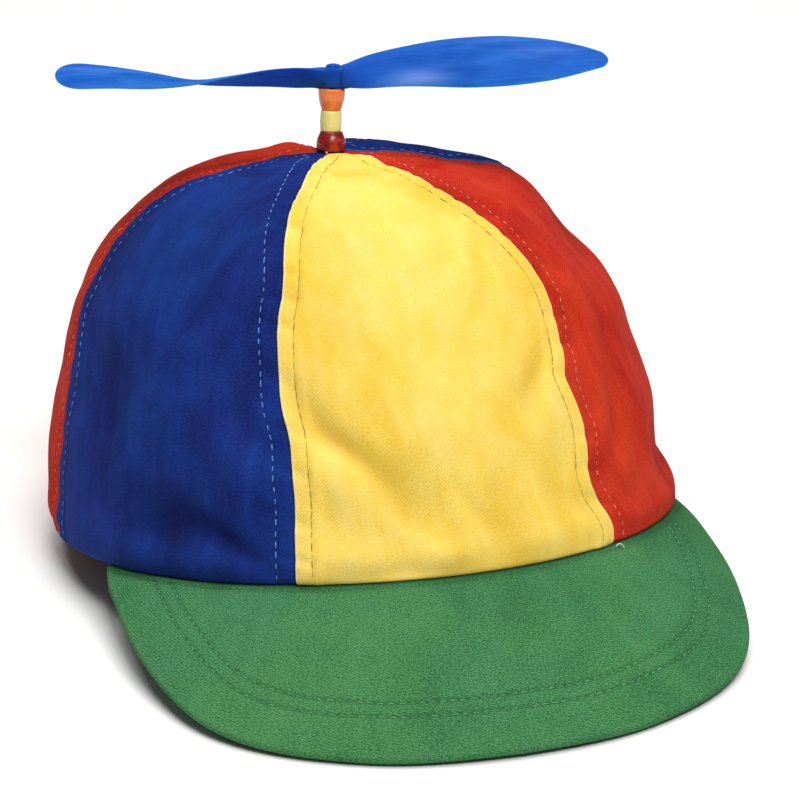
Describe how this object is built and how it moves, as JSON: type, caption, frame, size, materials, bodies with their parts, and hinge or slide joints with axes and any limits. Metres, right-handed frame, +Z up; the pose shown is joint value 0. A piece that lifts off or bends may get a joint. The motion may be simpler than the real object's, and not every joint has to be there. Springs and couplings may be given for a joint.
{
  "type": "propeller beanie",
  "caption": "Panelled cotton cap with a stiff sloping brim and a plastic propeller that turns on a beaded pin on top.",
  "frame": {"origin": "centre of the bounding box in plan, at the surface that the cap rests on", "axes": "-Y towards the front edge of the brim, +X towards the wearer's left, +Z up from the surface"},
  "size_m": [0.184, 0.2468, 0.1437],
  "materials": {
    "yellow_cotton": "matte twill",
    "red_cotton": "matte twill",
    "blue_cotton": "matte twill",
    "green_cotton": "matte twill",
    "red_bead": "glossy",
    "yellow_bead": "glossy",
    "orange_bead": "glossy",
    "blue_plastic": "satin moulded sheet"
  },
  "bodies": {
    "cap": {"panel_front": "yellow_cotton", "panel_front_left": "red_cotton", "panel_back_left": "blue_cotton", "panel_back": "yellow_cotton", "panel_back_right": "red_cotton", "panel_front_right": "blue_cotton", "brim": "green_cotton", "bead_red": "red_bead", "bead_yellow": "yellow_bead", "bead_orange": "orange_bead", "spindle": "blue_plastic"},
    "propeller": {"propeller": "blue_plastic"}
  },
  "joints": [
    {"name": "propeller_spin", "type": "hinge", "parent": "cap", "child": "propeller", "pos_m": [-0.00192, 0.04916, 0.13483], "axis": [0.0802, 0.1504, 0.9854], "continuous": true}
  ]
}
